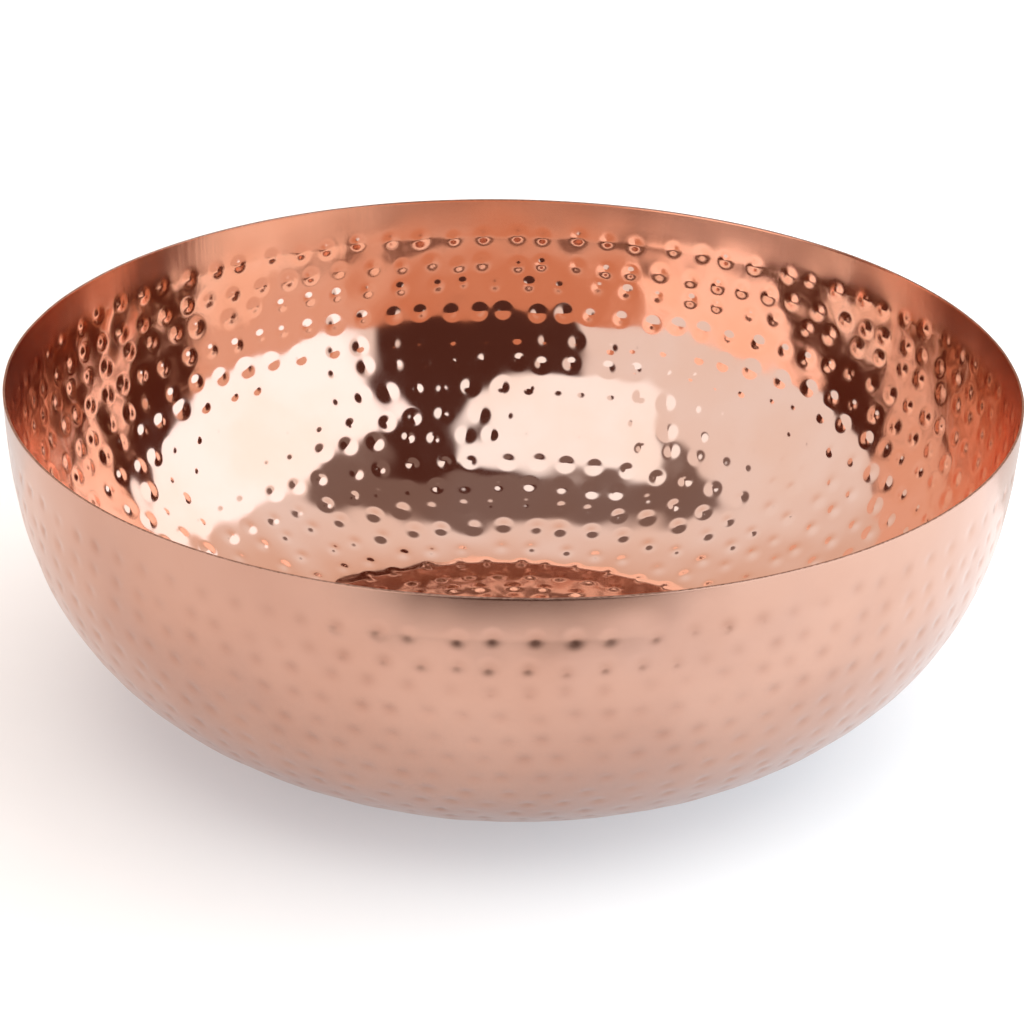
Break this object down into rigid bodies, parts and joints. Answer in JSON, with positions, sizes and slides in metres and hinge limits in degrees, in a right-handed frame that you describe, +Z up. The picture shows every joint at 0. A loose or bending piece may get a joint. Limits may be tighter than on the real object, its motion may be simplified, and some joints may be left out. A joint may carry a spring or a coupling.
{
  "type": "hammered copper bowl",
  "caption": "Wide round bowl of one hammered copper sheet with a plain cut rim and a flat base on small stick-on pads.",
  "frame": {"origin": "on the resting plane, under the bowl's centre", "axes": "+Z up along the bowl's axis, out of its mouth; +X and +Y along the resting plane"},
  "size_m": [0.356, 0.356, 0.1228],
  "materials": {
    "copper": "copper sheet, hammered in rows: mirror polished inside, fine brushed satin outside, thin clear lacquer",
    "pad_rubber": "soft matt grey rubber, self-adhesive"
  },
  "bodies": {
    "root": {"bowl_shell": "copper", "rest_pad_1": "pad_rubber", "rest_pad_2": "pad_rubber", "rest_pad_3": "pad_rubber", "rest_pad_4": "pad_rubber"}
  },
  "joints": []
}
